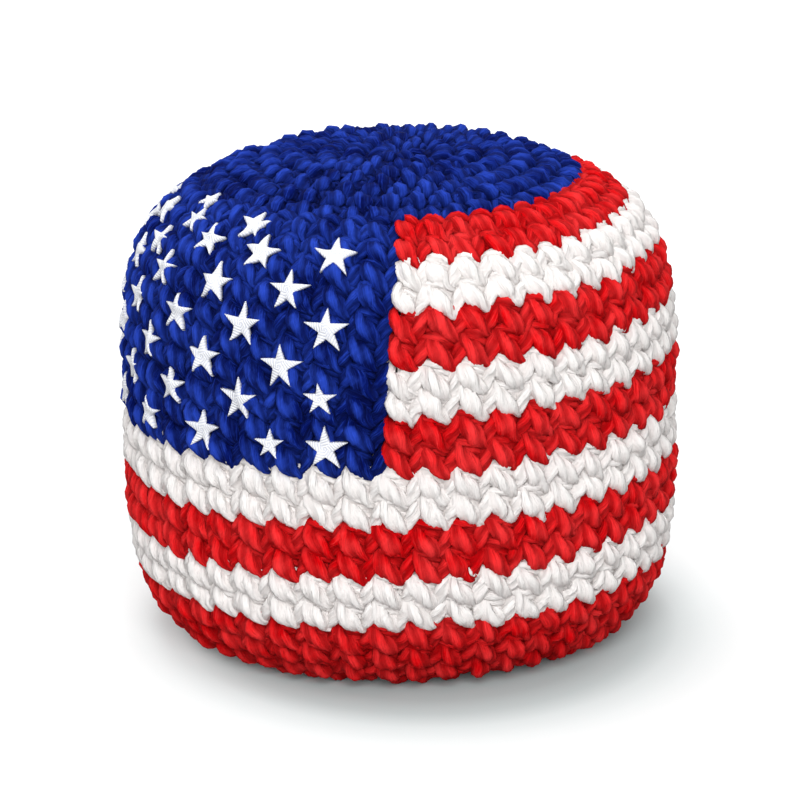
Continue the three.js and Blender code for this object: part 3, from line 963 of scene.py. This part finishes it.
outer = liner_skin(COVER_WALL + LINER_GAP)
inner = liner_skin(COVER_WALL + LINER_GAP + LINER_THICKNESS)
outer[0] = outer[0].mean(axis=0)
inner[0] = inner[0].mean(axis=0)
skin = np.concatenate([outer[1:], inner[:0:-1]])
rows, around = skin.shape[:2]
points = np.concatenate([outer[0, :1], skin.reshape(-1, 3), inner[0, :1]])
faces, cloth = [], []
thread = 1 / CLOTH_THREAD
lengths = np.concatenate([liner_run[1:], liner_run[:0:-1] + INNER_SIDE_OFFSET]) * thread
across = np.arange(around + 1) / around * 2 * math.pi * liner_line[:, 0].max() * thread
for j in range(around):
    k = (j + 1) % around
    faces.append((0, 1 + k, 1 + j))
    cloth += [(across[j], 0), (across[j + 1], lengths[0]), (across[j], lengths[0])]
    for i in range(rows - 1):
        low, high = 1 + i * around, 1 + (i + 1) * around
        faces.append((low + j, low + k, high + k, high + j))
        cloth += [(across[j], lengths[i]), (across[j + 1], lengths[i]),
                  (across[j + 1], lengths[i + 1]), (across[j], lengths[i + 1])]
    last = 1 + (rows - 1) * around
    faces.append((last + j, last + k, len(points) - 1))
    cloth += [(across[j], lengths[-1]), (across[j + 1], lengths[-1]), (across[j], lengths[-1])]
mesh = bpy.data.meshes.new("liner_pouch")
mesh.from_pydata((points * MM).tolist(), [], faces)
layer = mesh.uv_layers.new(name="Cloth")
layer.uv.foreach_set("vector", np.array(cloth, np.float32).ravel())
mesh.shade_smooth()
liner = placed("liner_pouch", mesh, liner_finish())
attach(liner, "root")
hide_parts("liner")
print("liner faces:", len(faces))

# %% [markdown]
# ## The pellets
# About a thousand plastic pellets fill the liner, heaped to a low mound. Each one is a bit of
# plastic rod cut short and tumbled smooth. Dropping them in a simulation would take minutes,
# so they are packed in close layers, nudged and turned at random, and kept inside the liner.

# %% Pellet finish
def pellet_finish():
    finish = Finish("pellets")
    solid = finish.node("ShaderNodeTexCoord", output="Object")
    tone = finish.noise(solid, 180.0, 1.0, 0.5)
    dust = finish.noise(solid, 2600.0, 2.0, 0.6)
    shade = finish.mix(finish.ramp(tone, (0.4, 0.0), (0.6, 1.0)), (0.72, 0.69, 0.60, 1),
                       (0.84, 0.83, 0.78, 1))
    return finish.finished(
        Base_Color=shade,
        Roughness=finish.ramp(dust, (0.3, 0.35), (0.7, 0.55)),
        Normal=finish.bump(0.25, 0.0001, dust),
    )


# %% Find the pellets' places
ROUND = np.ones(SECTION_SIDES)
PELLET_RADIUS = 2.1
PELLET_PITCH = 4.32
PELLET_GAP = 0.35
PELLET_CLEAR = 2.15
PELLET_NUDGE = 0.1
PELLET_LIFT = 0.1
PELLET_TOP = 42.0
MOUND_HEIGHT = 1.0
MOUND_RADIUS = 12
SPOTS_ASIDE = 8
LAYERS = 12

heap = YarnWork("pellet_heap", 71, ROUND)
wall, _ = pouch_line(COVER_WALL + LINER_GAP + LINER_THICKNESS + PELLET_GAP)
floor_height = wall[0, 1]
ticks = np.arange(-SPOTS_ASIDE, SPOTS_ASIDE + 1)
a, b, c = (x.ravel() for x in np.meshgrid(ticks, ticks, np.arange(LAYERS), indexing="ij"))
spots = np.stack([
    (a + 0.5 * (b % 2) + 0.5 * (c % 2)) * PELLET_PITCH,
    (b * math.sqrt(3) / 2 + (c % 2) * math.sqrt(3) / 6) * PELLET_PITCH,
    floor_height + PELLET_RADIUS + PELLET_LIFT + c * math.sqrt(2 / 3) * PELLET_PITCH,
], axis=1)
spots += heap.random.uniform(-PELLET_NUDGE, PELLET_NUDGE, spots.shape)
out = np.hypot(spots[:, 0], spots[:, 1])
room = np.interp(spots[:, 2], np.maximum.accumulate(wall[:, 1]), wall[:, 0])
near = np.hypot(out[:, None] - wall[:, 0], spots[:, 2:] - wall[:, 1]).min(axis=1)
top = PELLET_TOP + MOUND_HEIGHT * np.clip(1 - out / MOUND_RADIUS, 0, 1)
fits = (out < room) & (near > PELLET_CLEAR) & (spots[:, 2] < top - PELLET_RADIUS)
spots = spots[fits]
print("pellets:", len(spots))

# %% Heap the pellets
PELLET_LENGTH = 3.4
PELLET_SIZES = (0.88, 0.98)
PELLET_ENDS = np.array([0.0, 0.08, 0.3, 0.7, 0.92, 1.0])
PELLET_SHAPE = np.array([0.5, 0.82, 1.0, 1.0, 0.82, 0.5])

axes = heap.random.normal(0, 1, spots.shape)
axes /= np.linalg.norm(axes, axis=1)[:, None]
sideways = np.cross(axes, heap.random.normal(0, 1, spots.shape))
sideways /= np.linalg.norm(sideways, axis=1)[:, None]
shares = (PELLET_ENDS - 0.5) * PELLET_LENGTH
centres = spots[:, None] + axes[:, None] * shares[:, None]
sizes = heap.random.uniform(*PELLET_SIZES, (len(spots), 1)) * PELLET_RADIUS * PELLET_SHAPE
heap.add(centres, sizes, sideways)
pellets = heap.made(pellet_finish())
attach(pellets, "root")
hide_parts("pellet_fill")

# %% [markdown]
# ## The tie
# A twisted thread is wound twice round the liner's neck and knotted. It is yarn too, so the
# same strands make it, with a finer section. The size of the liner's cloth, a flat strip and a
# round bottom, is worked out here too, though the liner is drawn gathered.

# %% Wind the tie
TIE_RADIUS = 0.37
TIE_REACH = 3.3
TIE_TURNS = 2.3
TIE_POINTS = 120
TIE_HEIGHT = NECK_BASE + NECK_HEIGHT / 2
KNOT_TURNS = 1.6
KNOT_POINTS = 40
END_POINTS = 24
END_DROP = 0.42
UPWARDS = np.array([[0.0, 0.0, 1.0]])

tie_work = YarnWork("liner_tie_thread", 83)
share = np.linspace(0, 1, TIE_POINTS)
angle = share * TIE_TURNS * 2 * math.pi
loop = np.stack([
    TIE_REACH * np.sin(angle), -TIE_REACH * np.cos(angle),
    TIE_HEIGHT - TIE_RADIUS + share * 2 * TIE_RADIUS + 0.05 * np.sin(5 * angle),
], axis=-1)
tie_work.add(loop[None], np.full((1, TIE_POINTS), TIE_RADIUS), UPWARDS)
turn = np.linspace(0, KNOT_TURNS * 2 * math.pi, KNOT_POINTS)
knot = np.stack([
    0.55 * np.cos(turn), -TIE_REACH - 0.35 - 0.35 * np.sin(turn),
    TIE_HEIGHT + 0.5 * np.sin(2 * turn) + 0.1 * turn,
], axis=-1)
tie_work.add(knot[None], np.full((1, KNOT_POINTS), TIE_RADIUS * 0.9), UPWARDS)
for side in (-1, 1):
    reach = np.linspace(0, 1, END_POINTS)
    end = np.stack([
        side * (0.3 + 2.6 * reach), -TIE_REACH - 0.6 - 0.8 * np.sin(reach * 2.2),
        TIE_HEIGHT - END_DROP * reach**2 * 3,
    ], axis=-1)
    taper = TIE_RADIUS * (0.9 - 0.35 * reach**3)
    tie_work.add(end[None], taper[None], UPWARDS)
tie = tie_work.made(yarn_finish("tie thread", (0.70, 0.66, 0.58, 1), (0.86, 0.83, 0.78, 1),
                                (0.92, 0.90, 0.86, 1)))
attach(tie, "root")
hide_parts("liner_tie")
print("tie faces:", len(tie.data.polygons))

strip = 2 * math.pi * liner_line[:, 0].max()
strip_length = liner_run[-1] - liner_line[:, 0].max()
cut = strip * strip_length + math.pi * liner_line[:, 0].max() ** 2
flat_length = strip_length + 2 * liner_line[:, 0].max()
strip * MM
flat_length * MM
cut * MM * MM
print("liner strip in mm:", round(strip, 1), "x", round(strip_length, 1))

# %% [markdown]
# ## The yarn's end
# When the last stitch is drawn tight, the end of the blue yarn is pulled in through the crown
# and left as a short tail. It lies loose between the crown and the liner, and at its cut end
# the three plies open.

# %% Lay the yarn's end
TAIL_RADIUS = 0.85
TAIL_REACH = 8.0
TAIL_TURN = math.radians(200)
TAIL_BELOW_WALL = 1.6
TAIL_HEIGHT = COVER_HEIGHT - COVER_WALL - TAIL_BELOW_WALL - TAIL_RADIUS
TAIL_POINTS = 90
WISP_POINTS = 16

tail_work = YarnWork("closing_tail_yarn", 89)
angle = np.linspace(0, TAIL_TURN, TAIL_POINTS)
reach = TAIL_REACH + 0.12 * np.sin(4 * angle)
arc = np.stack([reach * np.sin(angle), -reach * np.cos(angle),
                TAIL_HEIGHT + 0.08 * np.sin(7 * angle)], axis=-1)
thick = TAIL_RADIUS * (1 - 0.25 * np.clip(angle - TAIL_TURN + 0.3, 0, 1))
tail_work.add(arc[None], thick[None], UPWARDS)
ahead = arc[-1] - arc[-2]
ahead /= np.linalg.norm(ahead)
for ply in range(3):
    spread = ply * 2 * math.pi / 3
    aside = np.array([-ahead[1], ahead[0], 0]) * math.cos(spread)
    aside = aside + UPWARDS[0] * math.sin(spread)
    share = np.linspace(0, 1, WISP_POINTS)[:, None]
    wisp = arc[-1] + aside * (0.25 + 0.35 * share**2) + ahead * (share * 2.2 - 0.5)
    tail_work.add(wisp[None], (0.34 - 0.22 * share[:, 0] ** 2)[None], aside[None])
tail = tail_work.made(YARNS["blue"])
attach(tail, "root")
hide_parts("closing_tail")
print("tail length in mm:", round(TAIL_REACH * TAIL_TURN, 1))

# %% [markdown]
# ## The floor
# The bag stands on a plain white surface. The floor is pale grey where the shadow lies, and a
# painted glow brightens it up to white further away, so where the glow fades round the bag it
# paints the edge of the soft shadow. Close to the red yarn it is painted a touch cooler, against
# the pink light that the yarn bounces onto it, and light that bounces off the floor sees a darker
# grey. A brighter lamp would whiten the floor too, but it would bleach the white yarn with it.

# %% Lay the floor
FLOOR_REACH = 6.0


def floor_finish():
    finish = Finish("plain floor")
    solid = finish.node("ShaderNodeTexCoord", output="Object")
    grain = finish.noise(solid, 40.0, 2.0, 0.5)
    # The glow's middle is moved a little right and forward and drawn narrower at the sides, which
    # shapes the painted edge of the shadow.
    beside = finish.node("ShaderNodeVectorMath", None, {0: solid, 1: (-0.003, 0.004, 0.0)})
    beside = finish.stretched(beside, (1.15, 1.0, 1.0))
    away = finish.node(
        "ShaderNodeVectorMath", {"operation": "LENGTH"}, {0: beside}, output="Value"
    )
    white = finish.mix(grain, (0.585, 0.60, 0.60, 1), (0.605, 0.62, 0.62, 1))
    # Painted cyan tint near the bag, against the pink light that the red yarn bounces onto the
    # floor.
    painted_cool_tint = finish.mix(grain, (0.50, 0.60, 0.60, 1), (0.52, 0.62, 0.62, 1))
    white = finish.mix(finish.ramp(away, (0.026, 0.0), (0.04, 1.0)), painted_cool_tint, white)
    seen = finish.node("ShaderNodeLightPath", output="Is Camera Ray")
    seen = seen + finish.node("ShaderNodeLightPath", output="Is Glossy Ray")
    seen = seen + finish.node("ShaderNodeLightPath", output="Is Transmission Ray")
    painted_glow = finish.ramp(
        away, (0.0245, 0.0), (0.0287, 0.13), (0.0323, 0.32), (0.05, 0.42), (0.16, 0.58)
    ) * seen
    # Light that bounces off the floor sees it a darker grey, so less light bounces up under the
    # bag.
    return finish.finished(
        Base_Color=finish.mix(seen, (0.32, 0.32, 0.32, 1), white),
        Roughness=0.9,
        Specular_IOR_Level=0.1,
        Emission_Color=finish.mix(painted_glow, (0, 0, 0, 1), (1, 1, 1, 1)),
        Emission_Strength=1.0,
    )


corners = [(x * FLOOR_REACH, y * FLOOR_REACH, 0) for x, y in ((-1, -1), (1, -1), (1, 1), (-1, 1))]
floor_mesh = bpy.data.meshes.new("floor")
floor_mesh.from_pydata(corners, [], [(0, 1, 2, 3)])
floor = placed("floor", floor_mesh, floor_finish())
floor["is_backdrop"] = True

# %% [markdown]
# ## Light and background
# Soft studio light comes from a white room and two big lamps. One hangs over the bag and a bit
# behind, so that the shadow falls softly in front, and the other fills in from the front.

# %% Light the bag
WORLD_STRENGTH = 0.57

world = bpy.data.worlds.new("studio")
bpy.context.scene.world = world
world.use_nodes = True
world.node_tree.nodes["Background"].inputs["Color"].default_value = (1, 1, 1, 1)
world.node_tree.nodes["Background"].inputs["Strength"].default_value = WORLD_STRENGTH


def add_lamp(name, place, size, power):
    lamp = bpy.data.lights.new(name, "AREA")
    lamp.shape = "DISK"
    lamp.size = size
    lamp.energy = power
    holder = bpy.data.objects.new(name, lamp)
    holder.location = place
    holder.rotation_euler = (middle - holder.location).to_track_quat("-Z", "Y").to_euler()
    bpy.context.scene.collection.objects.link(holder)
    print(name, "lamp in watts:", power)


add_lamp("key", (-0.14, 0.26, 0.9), size=0.5, power=3.7)
add_lamp("fill", (0.02, -0.90, 0.50), size=0.8, power=9.8)

bpy.context.scene.view_settings.view_transform = "Standard"

# %% [markdown]
# ## Measure and finish
# Nothing here should change the object's size, so the scene's box is printed, as the part's box was
# at the start.

# %% Both boxes
low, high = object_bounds()
print("visual box in mm:", [round(x / MM, 1) for x in high - low])
